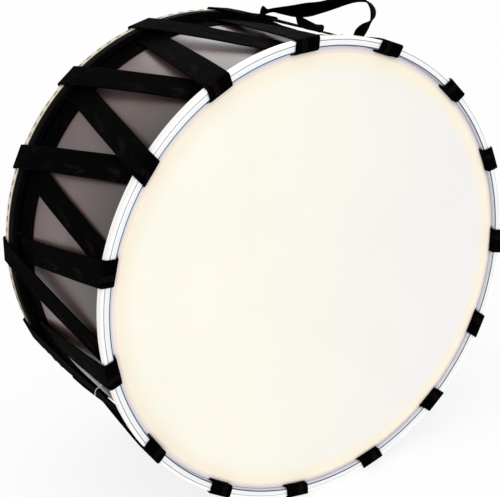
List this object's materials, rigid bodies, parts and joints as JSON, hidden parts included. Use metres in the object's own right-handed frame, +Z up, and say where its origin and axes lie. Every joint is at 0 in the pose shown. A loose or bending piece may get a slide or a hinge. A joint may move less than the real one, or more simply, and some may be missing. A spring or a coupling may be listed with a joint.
{
  "type": "davul drum",
  "caption": "Two-headed frame drum: thin lacquered wooden shell, film and hide heads on hoops, laced in zigzag with flat black webbing, with a webbing carrying strap.",
  "frame": {"origin": "on the ground under the middle of the drum, at the bottom centre of the whole object's box", "axes": "+Z up, +Y along the drum's axis from the plastic front head to the hide rear head, +X to the right seen from the front"},
  "size_m": [0.5562, 0.2942, 0.5796],
  "materials": {
    "shell_lacquer": "grey-brown satin lacquer",
    "bare_wood": "unfinished",
    "head_film": "milky matt film",
    "hoop_aluminium": "satin",
    "white_hoop_paint": "satin white",
    "hide": "natural rawhide",
    "thread": "waxed",
    "black_hoop_paint": "satin black paint",
    "webbing": "woven",
    "cord": "twisted"
  },
  "bodies": {
    "drum": {"front_counter_hoop": "white_hoop_paint", "front_flesh_hoop": "hoop_aluminium", "front_head_film": "head_film", "front_reinforcing_ring": "bare_wood", "front_strap_tie": "webbing", "girth_band": "webbing", "lacing_leg_01": "webbing", "lacing_leg_02": "webbing", "lacing_leg_03": "webbing", "lacing_leg_04": "webbing", "lacing_leg_05": "webbing", "lacing_leg_06": "webbing", "lacing_leg_07": "webbing", "lacing_leg_08": "webbing", "lacing_leg_09": "webbing", "lacing_leg_10": "webbing", "lacing_leg_11": "webbing", "lacing_leg_12": "webbing", "lacing_leg_13": "webbing", "lacing_leg_14": "webbing", "lacing_leg_15": "webbing", "lacing_leg_16": "webbing", "lacing_leg_17": "webbing", "lacing_leg_18": "webbing", "lacing_leg_19": "webbing", "lacing_leg_20": "webbing", "lacing_leg_21": "webbing", "lacing_leg_22": "webbing", "lacing_leg_23": "webbing", "lacing_leg_24": "webbing", "lacing_leg_25": "webbing", "lacing_leg_26": "webbing", "lacing_leg_27": "webbing", "lacing_leg_28": "webbing", "lacing_leg_29": "webbing", "lacing_leg_30": "webbing", "rear_counter_hoop": "black_hoop_paint", "rear_flesh_hoop": "bare_wood", "rear_head_hide": "hide", "rear_hide_lap": "hide", "rear_reinforcing_ring": "bare_wood", "rear_stitching": "thread", "rear_strap_tie": "webbing", "shell": "shell_lacquer", "strap_tail": "webbing", "tie_cord": "cord"},
    "strap": {"shoulder_strap": "webbing"}
  },
  "joints": [
    {"name": "strap_swing", "type": "hinge", "parent": "drum", "child": "strap", "pos_m": [0.10134, -0.09711, 0.53112], "axis": [-0.1656, 0.9825, 0.085], "range_deg": [-28, 25]}
  ]
}
